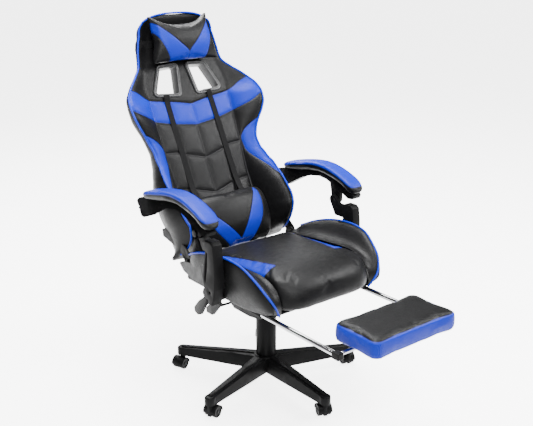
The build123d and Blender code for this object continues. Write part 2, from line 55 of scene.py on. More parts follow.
def curve_through(knots):
    """A smooth function through (position, value) knots, without overshoot."""
    knots = sorted(knots)
    x = np.array([k[0] for k in knots], float)
    y = np.array([k[1] for k in knots], float)
    slope = np.diff(y) / np.diff(x)
    m = np.zeros_like(x)
    m[0], m[-1] = slope[0], slope[-1]
    for i in range(1, len(x) - 1):
        a, b = slope[i - 1], slope[i]
        m[i] = 0 if a * b <= 0 else 2 * a * b / (a + b)

    def value(at):
        at = np.clip(np.asarray(at, float), x[0], x[-1])
        i = np.clip(np.searchsorted(x, at) - 1, 0, len(x) - 2)
        h = x[i + 1] - x[i]
        t = (at - x[i]) / h
        return ((2 * t ** 3 - 3 * t ** 2 + 1) * y[i] + (t ** 3 - 2 * t ** 2 + t) * h * m[i]
                + (-2 * t ** 3 + 3 * t ** 2) * y[i + 1] + (t ** 3 - t ** 2) * h * m[i + 1])
    return value


def path_through(points, count):
    """Evenly spaced points on a smooth path through a few 3-D points."""
    points = np.array(points, float)
    run = np.concatenate([[0], np.cumsum(np.linalg.norm(np.diff(points, axis=0), axis=1))])
    at = np.linspace(0, run[-1], count)
    return np.stack([catmull(run, points[:, k], at) for k in range(points.shape[1])], axis=1)


def catmull(x, y, at):
    """Cubic through samples with averaged slopes."""
    m = np.gradient(y, x)
    i = np.clip(np.searchsorted(x, at) - 1, 0, len(x) - 2)
    h = x[i + 1] - x[i]
    t = (at - x[i]) / h
    return ((2 * t ** 3 - 3 * t ** 2 + 1) * y[i] + (t ** 3 - 2 * t ** 2 + t) * h * m[i]
            + (-2 * t ** 3 + 3 * t ** 2) * y[i + 1] + (t ** 3 - t ** 2) * h * m[i + 1])


def smoothstep(low, high, value):
    t = np.clip((np.asarray(value, float) - low) / (high - low), 0, 1)
    return t * t * (3 - 2 * t)


def distance_to_path(x, v, path):
    """Distance from each point to a polyline in the plane."""
    best = np.full(np.shape(x), 1e9)
    for (ax, av), (bx, bv) in zip(path[:-1], path[1:]):
        dx, dv = bx - ax, bv - av
        t = np.clip(((x - ax) * dx + (v - av) * dv) / (dx * dx + dv * dv), 0, 1)
        best = np.minimum(best, np.hypot(x - ax - t * dx, v - av - t * dv))
    return best


def from_back(x, n, v):
    """Backrest frame (sideways, forward, up the back) to the chair's frame, in mm."""
    c, s = cos(RECLINE), sin(RECLINE)
    return np.stack([x, PIVOT_Y + s * v - c * n, PIVOT_Z + c * v + s * n], axis=-1)


def to_back(points):
    """Chair frame in mm to the backrest frame (x, n, v)."""
    c, s = cos(RECLINE), sin(RECLINE)
    dy, dz = points[..., 1] - PIVOT_Y, points[..., 2] - PIVOT_Z
    return points[..., 0], -c * dy + s * dz, s * dy + c * dz


def new_mesh(name, vertices, faces):
    """A smooth-shaded object from mm vertices."""
    mesh = bpy.data.meshes.new(name)
    mesh.from_pydata([tuple(p) for p in np.asarray(vertices, float) * MM], [], faces)
    mesh.validate()
    piece = bpy.data.objects.new(name, mesh)
    bpy.context.scene.collection.objects.link(piece)
    mesh.polygons.foreach_set("use_smooth", [True] * len(mesh.polygons))
    return piece


def loft(name, rings, closed_loop=False):
    """A closed form through rings of equal length: an array (ring, point, xyz) in mm."""
    rings = np.asarray(rings, float)
    count, size = rings.shape[:2]
    faces = []
    for i in range(count if closed_loop else count - 1):
        j = (i + 1) % count
        for k in range(size):
            m = (k + 1) % size
            faces.append((i * size + k, i * size + m, j * size + m, j * size + k))
    vertices = rings.reshape(-1, 3)
    if not closed_loop:
        for ring, flip in ((0, False), (count - 1, True)):
            centre = len(vertices)
            vertices = np.vstack([vertices, rings[ring].mean(0)])
            for k in range(size):
                a, b = ring * size + k, ring * size + (k + 1) % size
                faces.append((b, centre, a) if flip else (a, centre, b))
    piece = new_mesh(name, vertices, faces)
    outward(piece)
    return piece


def outward(piece):
    """Joins doubled points and makes every face point out."""
    form = bmesh.new()
    form.from_mesh(piece.data)
    bmesh.ops.remove_doubles(form, verts=form.verts, dist=0.00002)
    bmesh.ops.recalc_face_normals(form, faces=form.faces)
    form.to_mesh(piece.data)
    form.free()


def vertices_mm(piece):
    co = np.zeros(len(piece.data.vertices) * 3)
    piece.data.vertices.foreach_get("co", co)
    return co.reshape(-1, 3) / MM


def set_vertices_mm(piece, points):
    piece.data.vertices.foreach_set("co", (np.asarray(points) * MM).ravel())
    piece.data.update()


def paint(piece, **layers):
    """Stores float layers, such as the signed distance to a colour's edge in mm, on the points."""
    for name, values in layers.items():
        layer = piece.data.attributes.new(name, "FLOAT", "POINT")
        layer.data.foreach_set("value", np.asarray(values, np.float32).ravel())


def apply_modifiers(piece):
    """Replaces the mesh by its evaluated form."""
    graph = bpy.context.evaluated_depsgraph_get()
    done = bpy.data.meshes.new_from_object(piece.evaluated_get(graph))
    old = piece.data
    piece.modifiers.clear()
    piece.data = done
    bpy.data.meshes.remove(old)


def tube(name, points, radius, material):
    """A round cord along mm points, such as piping."""
    curve = bpy.data.curves.new(name, "CURVE")
    curve.dimensions = "3D"
    curve.bevel_depth = radius * MM
    curve.bevel_resolution = 3
    curve.use_fill_caps = True
    spline = curve.splines.new("POLY")
    spline.points.add(len(points) - 1)
    for spot, p in zip(spline.points, points):
        spot.co = (p[0] * MM, p[1] * MM, p[2] * MM, 1)
    spline.use_smooth = True
    piece = bpy.data.objects.new(name, curve)
    bpy.context.scene.collection.objects.link(piece)
    piece.data.materials.append(material)
    return piece


def place(piece, body, material, slot, *nodes, fill=None):
    """Finishes a piece: material, body and the CAD nodes it stands for; the slot and fill arguments are not
    used.
    """
    if piece.type == "MESH":
        piece.data.materials.clear()
        piece.data.materials.append(material)
    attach(piece, body)
    if nodes:
        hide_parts(*nodes)
    return piece


def both_sides(make):
    """Calls make(side, sign) for left (+X) and right (-X)."""
    return [make("left", 1), make("right", -1)]


# ---------------------------------------------------------------- materials

class Nodes:
    """A material's node tree with short helpers."""

    def __init__(self, name):
        self.material = bpy.data.materials.new(name)
        self.material.use_nodes = True
        self.tree = self.material.node_tree
        self.tree.nodes.clear()
        self.shader = self.add("ShaderNodeBsdfPrincipled")
        out = self.add("ShaderNodeOutputMaterial")
        self.link(self.shader.outputs["BSDF"], out.inputs["Surface"])
        self.coords = self.add("ShaderNodeTexCoord").outputs["Object"]

    def add(self, kind, **values):
        node = self.tree.nodes.new(kind)
        for key, value in values.items():
            if hasattr(node, key):
                setattr(node, key, value)
            else:
                node.inputs[key].default_value = value
        return node

    def link(self, a, b):
        self.tree.links.new(a, b)

    def noise(self, scale, detail=3.0, roughness=0.5):
        node = self.add("ShaderNodeTexNoise", Scale=scale, Detail=detail, Roughness=roughness)
        self.link(self.coords, node.inputs["Vector"])
        return node.outputs["Fac"]

    def cells(self, scale):
        node = self.add("ShaderNodeTexVoronoi", feature="DISTANCE_TO_EDGE", Scale=scale)
        self.link(self.coords, node.inputs["Vector"])
        return node.outputs["Distance"]

    def layer(self, name):
        return self.add("ShaderNodeAttribute", attribute_name=name).outputs["Fac"]

    def math(self, operation, a, b=0.0):
        node = self.add("ShaderNodeMath", operation=operation)
        for socket, value in zip(node.inputs, (a, b)):
            if isinstance(value, (int, float)):
                socket.default_value = value
            else:
                self.link(value, socket)
        return node.outputs[0]

    def ramp(self, value, low, high, to_low=0.0, to_high=1.0):
        node = self.add("ShaderNodeMapRange")
        self.link(value, node.inputs["Value"])
        for key, number in (("From Min", low), ("From Max", high), ("To Min", to_low), ("To Max", to_high)):
            node.inputs[key].default_value = number
        return node.outputs["Result"]

    def mix(self, factor, a, b):
        node = self.add("ShaderNodeMix", data_type="RGBA")
        for index, value in ((0, factor), (6, a), (7, b)):
            if isinstance(value, tuple):
                node.inputs[index].default_value = (*value, 1)
            elif isinstance(value, (int, float)):
                node.inputs[index].default_value = value
            else:
                self.link(value, node.inputs[index])
        return node.outputs[2]

    def bump(self, height, distance, strength=1.0, after=None):
        node = self.add("ShaderNodeBump", Distance=distance, Strength=strength)
        self.link(height, node.inputs["Height"])
        if after is not None:
            self.link(after, node.inputs["Normal"])
        return node.outputs["Normal"]


def varied(colour, amount):
    return tuple(min(1.0, c * amount) for c in colour)


STITCH_PITCH, STITCH_OFFSET = 3.6, 4.2
PEBBLE_SCALE, PORE_SCALE, CREASE_SCALE = 620, 1500, 26
RIB_PITCH, THREAD_PITCH = 1.6, 1.1


def leather(name, base, second=None, stitched_with_seam_shade=False):
    """Coated leather: fine pebble grain, soft creases and worn sheen.

    The second colour shows where the zone layer is positive, stitches run beside the seam layer, and the sewn
    crease along it carries painted shade, a near-black colour.
    """
    m = Nodes(name)
    cloud = m.noise(9, 4)
    colour = m.mix(cloud, varied(base, 0.86), varied(base, 1.2))
    if second:
        other = m.mix(cloud, varied(second, 0.9), varied(second, 1.1))
        colour = m.mix(m.ramp(m.layer("zone"), -0.35, 0.35), colour, other)
    grain = m.cells(PEBBLE_SCALE)
    fine = m.noise(PORE_SCALE, 2)
    soft = m.noise(CREASE_SCALE, 5)
    colour = m.mix(m.ramp(grain, 0.0, 0.09, 0.22, 0.0), colour, varied(base, 0.5))
    height = m.math("ADD", m.ramp(grain, 0.0, 0.12), m.math("MULTIPLY", fine, 0.35))
    normal = m.bump(height, 0.00012, 0.5)
    normal = m.bump(soft, 0.0016, 0.22, normal)
    if stitched_with_seam_shade:
        seam = m.layer("seam")
        # Painted shade in the sewn crease: the colour is drawn towards the near-black seam shade within 1.6 mm
        # of the seam.
        colour = m.mix(m.ramp(seam, 0.4, 1.6, 0.75, 0.0), colour, SEAM_SHADE_COLOUR)
        beat = m.math("SINE", m.math("MULTIPLY", m.layer("along"), 2 * pi / STITCH_PITCH))
        line = m.math("ABSOLUTE", m.math("SUBTRACT", seam, STITCH_OFFSET))
        thread = m.math("MULTIPLY", m.ramp(line, 0.2, 0.75, 1.0, 0.0), m.ramp(beat, -0.35, 0.2))
        normal = m.bump(thread, 0.0005, 0.8, normal)
    m.link(colour, m.shader.inputs["Base Color"])
    m.link(m.ramp(m.noise(60, 4), 0.3, 0.7, 0.36, 0.47), m.shader.inputs["Roughness"])
    m.link(normal, m.shader.inputs["Normal"])
    m.shader.inputs["Specular IOR Level"].default_value = 0.055
    return m.material


def moulded(name, base, roughness=(0.38, 0.5), grain=0.00006, specular=0.12):
    """Moulded nylon: fine spark texture and faint flow marks."""
    m = Nodes(name)
    colour = m.mix(m.noise(14, 4), varied(base, 0.85), varied(base, 1.25))
    m.link(colour, m.shader.inputs["Base Color"])
    m.link(m.ramp(m.noise(45, 5), 0.3, 0.7, *roughness), m.shader.inputs["Roughness"])
    normal = m.bump(m.noise(1800, 2), grain, 0.6)
    m.link(m.bump(m.noise(18, 3), 0.0006, 0.12, normal), m.shader.inputs["Normal"])
    m.shader.inputs["Specular IOR Level"].default_value = specular
    return m.material


def metal(name, base, roughness, brushed=0.0):
    """Bare or plated metal with faint scratches."""
    m = Nodes(name)
    colour = m.mix(m.noise(30, 5), varied(base, 0.92), varied(base, 1.04))
    m.link(colour, m.shader.inputs["Base Color"])
    m.shader.inputs["Metallic"].default_value = 1.0
    m.link(m.ramp(m.noise(120, 6), 0.35, 0.7, roughness, roughness * 1.8), m.shader.inputs["Roughness"])
    if brushed:
        m.link(m.bump(m.noise(900, 3), 0.00003, brushed), m.shader.inputs["Normal"])
    return m.material


def webbing(name, base):
    """Woven strap: ribs across and threads along."""
    m = Nodes(name)
    across = m.math("SINE", m.math("MULTIPLY", m.layer("along"), 2 * pi / RIB_PITCH))
    down = m.math("SINE", m.math("MULTIPLY", m.layer("across"), 2 * pi / THREAD_PITCH))
    weave = m.math("MULTIPLY", across, down)
    colour = m.mix(m.ramp(weave, -1, 1), varied(base, 0.6), varied(base, 1.7))
    m.link(colour, m.shader.inputs["Base Color"])
    m.shader.inputs["Roughness"].default_value = 0.72
    m.shader.inputs["Specular IOR Level"].default_value = 0.04
    m.link(m.bump(weave, 0.0003, 0.5), m.shader.inputs["Normal"])
    return m.material


MATERIALS = {
    "leather": leather("black_leather", BLACK),
    "two_tone": leather("black_and_blue_leather", BLACK, BLUE, stitched_with_seam_shade=True),
    "piping": leather("piping_leather", PIPING_BLUE),
    "nylon": moulded("moulded_nylon", (0.002, 0.002, 0.0021), specular=0.028),
    "gloss": moulded("glossy_plastic", (0.0015, 0.0015, 0.0016), (0.2, 0.28), 0.00001, 0.06),
    "tread": moulded("wheel_plastic", (0.0014, 0.0014, 0.0015), (0.45, 0.6), specular=0.05),
    "paint": moulded("powder_coat", (0.0014, 0.0014, 0.0015), (0.4, 0.55), 0.00012, 0.05),
    "steel": metal("zinc_steel", (0.52, 0.52, 0.54), 0.3, 0.3),
    "dark_steel": metal("dark_steel", (0.01, 0.01, 0.011), 0.35, 0.2),
    "chrome": metal("chrome_tube", (0.3, 0.3, 0.31), 0.07),
    "bezel": moulded("bezel_grey", (0.02, 0.02, 0.0205), (0.25, 0.34), 0.00003, 0.12),
    "webbing": webbing("woven_strap", (0.0015, 0.0015, 0.0016)),
}
NODE_MATERIALS = {
    "nylon": ("base_star", "column_cover_", "recliner_covers", "arm_upright", "arm_beam", "rail_end_caps",
              "_hood"),
    "tread": ("_wheels",),
    "steel": ("caster_stems", "gas_piston"),
    "dark_steel": ("_axle",),
    "paint": ("recliner_shaft", "arm_pivot_bolt", "gas_cylinder", "mechanism_", "seat_pan", "_recliner_plates",
              "back_frame", "arm_foot_brackets", "rail_sleeves", "footrest_brackets"),
    "gloss": ("_lever",),
    "chrome": ("footrest_rails", "footrest_cross_rod"),
}


def finish_cad_nodes():
    """Procedural materials and softened edges for the CAD nodes that show."""
    for node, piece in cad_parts.items():
        for key, patterns in NODE_MATERIALS.items():
            if any(p in node for p in patterns):
                piece.data.materials.clear()
                piece.data.materials.append(MATERIALS[key])
                soften(piece)
                break


EDGE_ROUND, EDGE_ANGLE, WELD_DISTANCE = 1.2, 28, 0.00001


def soften(piece):
    """Small rounded edges and clean shading, as modifiers."""
    piece.data.polygons.foreach_set("use_smooth", [True] * len(piece.data.polygons))
    weld = piece.modifiers.new("weld", "WELD")
    weld.merge_threshold = WELD_DISTANCE
    bevel = piece.modifiers.new("edge", "BEVEL")
    bevel.width = EDGE_ROUND * MM
    bevel.segments = 2
    bevel.limit_method = "ANGLE"
    bevel.angle_limit = radians(EDGE_ANGLE)
    bevel.harden_normals = True
    bevel.use_clamp_overlap = True


# ---------------------------------------------------------------- backrest

BACK_TOP, CAP_START, CAP_HALF, CAP_POWER = 858.0, 790.0, 150, 2.6
BACK_BOTTOM, BOTTOM_ROUND, APRON_HALF, APRON_DROP = 13.0, 10.0, 146.0, 23.0
# How each of these changes up the back: (v, value).
side_half = curve_through([
    (13, 222), (25, 221), (32, 217), (45, 213), (64, 214), (86, 217), (107, 220), (125, 225), (148, 228),
    (201, 229), (228, 229), (268, 228), (291, 223), (318, 219), (330, 216), (371, 216), (407, 226),
    (440, 241), (470, 258), (504, 271), (535, 274), (567, 268), (601, 246), (627, 224), (651, 201),
    (690, 172), (740, 163), (775, 155), (790, 150)])
side_n = curve_through([
    (13, -75), (18, -62), (25, -47), (32, -20), (45, 10), (64, 34), (86, 50), (107, 58), (125, 55),
    (148, 49), (173, 39), (201, 28), (228, 15), (268, -4), (291, -18), (318, -30), (340, -40), (371, -47),
    (407, -46), (440, -36), (470, -24), (504, -17), (535, -19), (567, -29), (601, -42), (627, -52),
    (651, -63), (690, -74), (740, -67), (790, -55), (830, -40), (862, -28)])
centre_n = curve_through([
    (13, -52), (60, -52), (110, -57), (183, -67), (265, -71), (350, -71), (470, -74), (535, -76),
    (600, -77), (690, -78), (740, -76), (800, -64), (845, -42), (862, -32)])
rear_side_n = curve_through([
    (13, -98), (41, -105), (66, -108), (99, -106), (130, -108), (183, -119), (265, -114), (350, -102),
    (407, -87), (470, -66), (535, -58), (580, -68), (627, -84), (690, -98), (740, -98), (800, -86),
    (845, -66), (862, -52)])
rear_n = curve_through([
    (13, -104), (60, -114), (110, -118), (183, -126), (265, -125), (350, -117), (407, -112), (470, -109),
    (535, -108), (627, -109), (690, -109), (740, -108), (800, -97), (845, -76), (862, -62)])
seam_x = curve_through([
    (13, 146), (60, 150), (110, 155), (265, 155), (350, 160), (470, 164), (560, 166), (627, 160),
    (690, 140), (862, 90)])
crescent_x = curve_through([
    (205, 262), (215, 231), (225, 224), (255, 209), (295, 188), (340, 168), (380, 166), (410, 182),
    (430, 212), (445, 246), (460, 290)])
CRESCENT_ENDS = (215, 446)
# The blue band's lower and upper edges: (x, v).
band_low = curve_through([(0, 460), (95, 474), (170, 492), (225, 507), (268, 528), (290, 540)])
band_high = curve_through([(0, 536), (92, 554), (140, 560), (180, 570), (215, 590), (245, 600), (290, 606)])


def bottom_inset(v):
    """How far the section is drawn in by the rounded lower edge."""
    t = np.clip((BACK_BOTTOM + BOTTOM_ROUND - np.asarray(v, float)) / BOTTOM_ROUND, 0, 1)
    return BOTTOM_ROUND * (1 - np.sqrt(1 - t * t))


def back_half_width(v):
    """The outline's half width: the curve of the sides, a rounded top and a rounded lower edge."""
    v = np.asarray(v, float)
    cap = np.clip((v - CAP_START) / (BACK_TOP - CAP_START), 0, 1)
    width = np.where(v > CAP_START, CAP_HALF * (1 - cap ** CAP_POWER) ** (1 / CAP_POWER), side_half(v))
    return width - bottom_inset(v)


def mirrored_paths(*paths):
    return [list(p) for p in paths] + [[(-x, v) for x, v in p] for p in paths]


def edge_path(function, start, stop, swap=False, steps=14):
    """Samples of a curve as a seam path; swap when the curve gives x from v."""
    at = np.linspace(start, stop, steps)
    return [(float(function(a)), a) if swap else (a, float(function(a))) for a in at]


BACK_SEAMS = (
    [[(0, 205), (0, 536)]]
    + mirrored_paths([(0, 338), (80, 360)], [(0, 209), (80, 232)], [(84, 120), (84, 552)],
                     [(104, 371), (158, 375)], [(104, 238), (154, 243)])
    + mirrored_paths(edge_path(seam_x, 30, 566, swap=True), edge_path(band_low, 0, 270),
                     edge_path(band_high, 0, 247), edge_path(crescent_x, 225, 443, swap=True))
)


def back_seam_distance(x, v):
    best = np.full(np.shape(x), 1e9)
    for path in BACK_SEAMS:
        best = np.minimum(best, distance_to_path(x, v, path))
    return best


HEAD_BLEND, HEAD_PUFF = (540, 610), 1.5
PUFF_HEIGHT, PUFF_REACH, SEAM_DEPTH, SEAM_WIDTH = 3.6, 11, 2.0, 2.4


def back_front(x, v):
    """The front's forward distance: a flat centre, bolsters that rise to the edge, puffed sewn panels."""
    half, seam = back_half_width(v), np.minimum(seam_x(v), back_half_width(v) - 3)
    t = np.clip((np.abs(x) - seam) / (half - seam), 0, 1)
    creased = np.sin(pi / 2 * t) ** 0.85
    smooth = t * t * (3 - 2 * t)
    low = 1 - smoothstep(*HEAD_BLEND, v)
    rise = low * creased + (1 - low) * smooth
    n = centre_n(v) + (side_n(v) - centre_n(v)) * rise
    away = back_seam_distance(x, v)
    fade = smoothstep(0, 14, half - np.abs(x)) * smoothstep(BACK_BOTTOM, 60, v)
    puff = PUFF_HEIGHT * (1 - np.exp(-away / PUFF_REACH)) - SEAM_DEPTH * np.exp(-(away / SEAM_WIDTH) ** 2)
    return n + (puff * low + HEAD_PUFF * (1 - low)) * fade


ROW_STEP, FRONT_POINTS, SIDE_POINTS, REAR_POINTS = 3.1, 170, 16, 70
SIDE_INSET, SIDE_BULGE, WING_BULGE, WING_END = 8.0, 5, 15, (220, 360)
CAP_ROUND_START, CAP_ROUND_POWER, THINNEST = 40, 2.4, 0.03
APRON_TOP, APRON_BLEND = 62, 12


def back_rows():
    """Heights of the sections, closer at the rounded ends."""
    foot = BACK_BOTTOM + BOTTOM_ROUND * np.linspace(0, 1, 8)[:-1] ** 2
    middle = np.arange(BACK_BOTTOM + BOTTOM_ROUND, CAP_START + 10, ROW_STEP)
    cap = BACK_TOP - (BACK_TOP - CAP_START - 12) * np.linspace(1, 0.02, 26) ** 2
    return np.concatenate([foot, middle, cap])


def back_ring(v):
    """One closed section: front, side, rear, side."""
    half = float(back_half_width(v))
    spread = np.linspace(-1, 1, FRONT_POINTS)
    x_front = half * np.sin(spread * pi / 2 * 0.96) / sin(pi / 2 * 0.96)
    n_front = back_front(x_front, np.full_like(x_front, v))
    turn = np.linspace(0, 1, SIDE_POINTS)[1:-1]
    inset = min(SIDE_INSET, half * 0.2)
    bulge = (SIDE_BULGE + WING_BULGE * (1 - smoothstep(*WING_END, v))) * np.sin(pi * turn)
    edge, rear_edge = float(n_front[-1]), float(rear_side_n(v))
    x_side = half - inset * turn + bulge
    n_side = edge + (rear_edge - edge) * turn
    x_rear = np.linspace(half - inset, -(half - inset), REAR_POINTS)
    r = np.abs(x_rear) / (half - inset)
    n_rear = rear_edge + (float(rear_n(v)) - rear_edge) * (1 - r ** 2.6)
    x = np.concatenate([x_front, x_side, x_rear, -x_side[::-1]])
    n = np.concatenate([n_front, n_side, n_rear, n_side[::-1]])
    cap = max(0.0, (v - CAP_START - CAP_ROUND_START) / (BACK_TOP - CAP_START - CAP_ROUND_START))
    rounded = (1 - cap ** CAP_ROUND_POWER) ** (1 / CAP_ROUND_POWER)
    squeeze = max(rounded * (1 - 2 * float(bottom_inset(v)) / (n.max() - n.min())), THINNEST)
    middle = (n.max() + n.min()) / 2
    n = middle + (n - middle) * squeeze
    inside = 1 - smoothstep(APRON_HALF - APRON_BLEND, APRON_HALF + APRON_BLEND, np.abs(x))
    return from_back(x, n, v - APRON_DROP * (1 - smoothstep(BACK_BOTTOM, APRON_TOP, v)) * inside)


VENT_CORNERS = ((12, 691), (100, 686), (149, 575), (31, 565))
VENT_RADIUS = 17.0


def rounded_outline(corners, radius, inset=0.0, steps=9):
    """A convex outline with round corners, moved inward by inset."""
    points = np.array(corners, float)
    out = []
    count = len(points)
    for i in range(count):
        a, b, c = points[i - 1], points[i], points[(i + 1) % count]
        u, w = (a - b) / np.linalg.norm(a - b), (c - b) / np.linalg.norm(c - b)
        half = np.arccos(np.clip(u @ w, -1, 1)) / 2
        bisect = (u + w) / np.linalg.norm(u + w)
        mid = b + bisect * radius / np.sin(half)
        start, stop = b + u * radius / np.tan(half) - mid, b + w * radius / np.tan(half) - mid
        r = max(radius - inset, 0.5)
        a0, a1 = atan2(start[1], start[0]), atan2(stop[1], stop[0])
        turn = (a1 - a0 + pi) % (2 * pi) - pi
        for t in np.linspace(0, 1, steps):
            out.append(mid + r * np.array([cos(a0 + turn * t), sin(a0 + turn * t)]))
    return np.array(out)


def vent_ring(sign, inset, n):
    outline = rounded_outline(VENT_CORNERS, VENT_RADIUS, inset)
    return from_back(sign * outline[:, 0], np.full(len(outline), float(n)), outline[:, 1])


def backrest():
    """Upholstered backrest as one closed form with two slots through it."""
    rings = np.array([back_ring(v) for v in back_rows()])
    shell = loft("backrest_upholstery", rings)
    for sign in (1, -1):
        cutter = loft("cutter", np.array([vent_ring(sign, 5, n) for n in (-10, -200)]))
        cut = shell.modifiers.new("slot", "BOOLEAN")
        cut.object, cut.operation, cut.solver = cutter, "DIFFERENCE", "EXACT"
        apply_modifiers(shell)
        bpy.data.objects.remove(cutter)
    x, n, v = to_back(vertices_mm(shell))
    ax = np.abs(x)
    is_front = n > back_front(np.minimum(ax, back_half_width(v) - 1), v) - 3
    band = np.minimum(v - band_low(ax), band_high(ax) - v) * 0.93
    crescent = np.minimum((ax - crescent_x(v)) * 0.8, np.minimum(v - CRESCENT_ENDS[0], CRESCENT_ENDS[1] - v))
    zone = np.where(is_front, np.maximum(band, crescent), -5)
    seam = np.where(is_front, back_seam_distance(x, v), 20)
    paint(shell, zone=zone, seam=seam, along=v + 0.6 * ax)
    place(shell, "backrest", MATERIALS["two_tone"], "black_leather", "back_cushion", "back_bolster_left",
          "back_bolster_right", "back_head", "back_rear_panel", fill=0.8)
    back_piping()


def back_piping():
    """Blue piping along the edge of the backrest, from one lower corner over the top to the other."""
    straight = np.linspace(26, 800, 220)
    v = np.concatenate([straight, BACK_TOP - (BACK_TOP - 800) * np.linspace(1, 0, 40) ** 2])
    half = back_half_width(v)
    n = np.where(v > 830, side_n(v) - 3, side_n(v) + 1)
    left = from_back(half + 1.0, n, v)
    right = from_back(-half - 1.0, n, v)
    line = np.vstack([left, right[::-1][1:]])
    piping = tube("backrest_piping", line, PIPING_RADIUS, MATERIALS["piping"])
    place(piping, "backrest", MATERIALS["piping"], "blue_leather")


def bezels():
    """Slot linings: a double ridge on the face, a wall through the backrest and a rear lip."""
    profile = [(0, -77), (0, -72.5), (1.2, -70), (3.2, -69), (5, -70.2), (6.4, -72), (7.8, -70.6), (9.6, -69.6),
               (11.6, -70.6), (12.6, -73.5), (12.6, -108), (11.5, -113), (8, -115), (2, -114.5), (0, -112),
               (0, -107)]

    def make(side, sign):
        rings = np.array([vent_ring(sign, inset, n) for inset, n in profile])
        return loft(f"harness_slot_bezel_{side}", rings, closed_loop=True)
    left, right = both_sides(make)
    for piece, nodes in ((left, ("vent_bezels",)), (right, ())):
        place(piece, "backrest", MATERIALS["bezel"], "bezel_grey", *nodes)


# ---------------------------------------------------------------- padding

PADDED = []
PRESSURE, SIM_STEPS = 4.0, 20
CLOTH = {"quality": 5, "mass": 0.3, "tension_stiffness": 15, "compression_stiffness": 15, "shear_stiffness": 6,
         "bending_stiffness": 0.6}


def pad(piece, cap, voxel=5.0):
    """Queues a piece to be inflated as cloth; its shape starts a little small and may swell by cap mm."""
    remesh = piece.modifiers.new("even", "REMESH")
    remesh.mode = "VOXEL"
    remesh.voxel_size = voxel * MM
    apply_modifiers(piece)
    ease(piece, 4)
    PADDED.append((piece, cap))
    return piece


def ease(piece, rounds):
    """Smooths a mesh a little."""
    smooth = piece.modifiers.new("ease", "SMOOTH")
    smooth.factor, smooth.iterations = 0.5, rounds
    apply_modifiers(piece)


def add_cloth(piece):
    """Makes a piece an air-filled cloth with no weight."""
    settings = piece.modifiers.new("cloth", "CLOTH").settings
    settings.use_pressure = True
    settings.uniform_pressure_force = PRESSURE
    settings.effector_weights.gravity = 0
    for key, value in CLOTH.items():
        setattr(settings, key, value)


def inflate_all():
    """Runs every queued piece as cloth under air pressure, limits how far it swells, and refines it."""
    start = {piece.name: vertices_mm(piece) for piece, cap in PADDED}
    for piece, cap in PADDED:
        add_cloth(piece)
    for step in range(1, SIM_STEPS + 1):
        bpy.context.scene.frame_set(step)
    for piece, cap in PADDED:
        rest = start[piece.name]
        apply_modifiers(piece)
        move = vertices_mm(piece) - rest
        length = np.linalg.norm(move, axis=1, keepdims=True) + 1e-9
        set_vertices_mm(piece, rest + move / length * cap * np.tanh(length / cap))
        finer = piece.modifiers.new("finer", "SUBSURF")
        finer.levels = finer.render_levels = 1
        apply_modifiers(piece)
        piece.data.polygons.foreach_set("use_smooth", [True] * len(piece.data.polygons))
    bpy.context.scene.frame_set(1)


def sewn(piece, seam, depth=1.6, width=2.2, puff=0.0):
    """Sinks the surface along a seam, given each point's distance to it."""
    normals = np.zeros(len(piece.data.vertices) * 3)
    piece.data.vertex_normals.foreach_get("vector", normals)
    sink = depth * np.exp(-(seam / width) ** 2) - puff * (1 - np.exp(-seam / 12))
    set_vertices_mm(piece, vertices_mm(piece) - normals.reshape(-1, 3) * sink[:, None])


# ---------------------------------------------------------------- pillows

def pillow_grid(name, half_x, low, high, front, rear, place_at):
    """A two-panel pillow over a grid: half_x(t), low(u) and high(u) give its outline, u and t from -1 to 1."""
    count, sharp = (64, 44), 4.0
    u = np.sin(np.linspace(-1, 1, count[0]) * pi / 2)
    t = np.sin(np.linspace(-1, 1, count[1]) * pi / 2)
    uu, tt = np.meshgrid(u, t, indexing="ij")
    x = uu * half_x(tt)
    v = low(uu) + (high(uu) - low(uu)) * (tt + 1) / 2
    swell = ((1 - np.abs(uu) ** sharp) * (1 - np.abs(tt) ** (sharp * 0.6))) ** 0.5
    faces, vertices = [], []
    for side, depth in ((0, front), (1, -rear)):
        vertices.append(place_at(x, v, swell * depth).reshape(-1, 3))
        base = side * count[0] * count[1]
        for i in range(count[0] - 1):
            for j in range(count[1] - 1):
                a = base + i * count[1] + j
                faces.append((a, a + count[1], a + count[1] + 1, a + 1))
    piece = new_mesh(name, np.vstack(vertices), faces)
    outward(piece)
    return piece


HEAD_EDGE_N, HEAD_EAR = -26.0, 33
head_band_outer = curve_through([
    (672, 66), (680, 71), (720, 89), (760, 105), (800, 118), (842, 133), (850, 136)])
head_band_inner = curve_through([
    (600, -60), (704, 0), (740, 38), (775, 72), (810, 104), (842, 131), (850, 137)])


def head_pillow():
    """Head pillow with pointed upper corners, strapped over the top of the backrest."""
    half = curve_through([(-1, 137), (-0.6, 131), (0, 121), (0.5, 121), (0.85, 128), (1, 133)])

    def at(x, v, swell):
        edge = HEAD_EDGE_N + 9 * (np.abs(x) / 134) ** 2 * smoothstep(780, 845, v) - 6 * smoothstep(760, 690, v)
        return from_back(x, edge + swell, v)
    low, high, swell_front, swell_rear, cap = 678, 820, 34, 30, 9
    piece = pillow_grid("head_pillow_soft", half, lambda u: low + 0 * u,
                        lambda u: high + HEAD_EAR * np.abs(u) ** 2.2, swell_front, swell_rear, at)
    return pad(piece, cap)


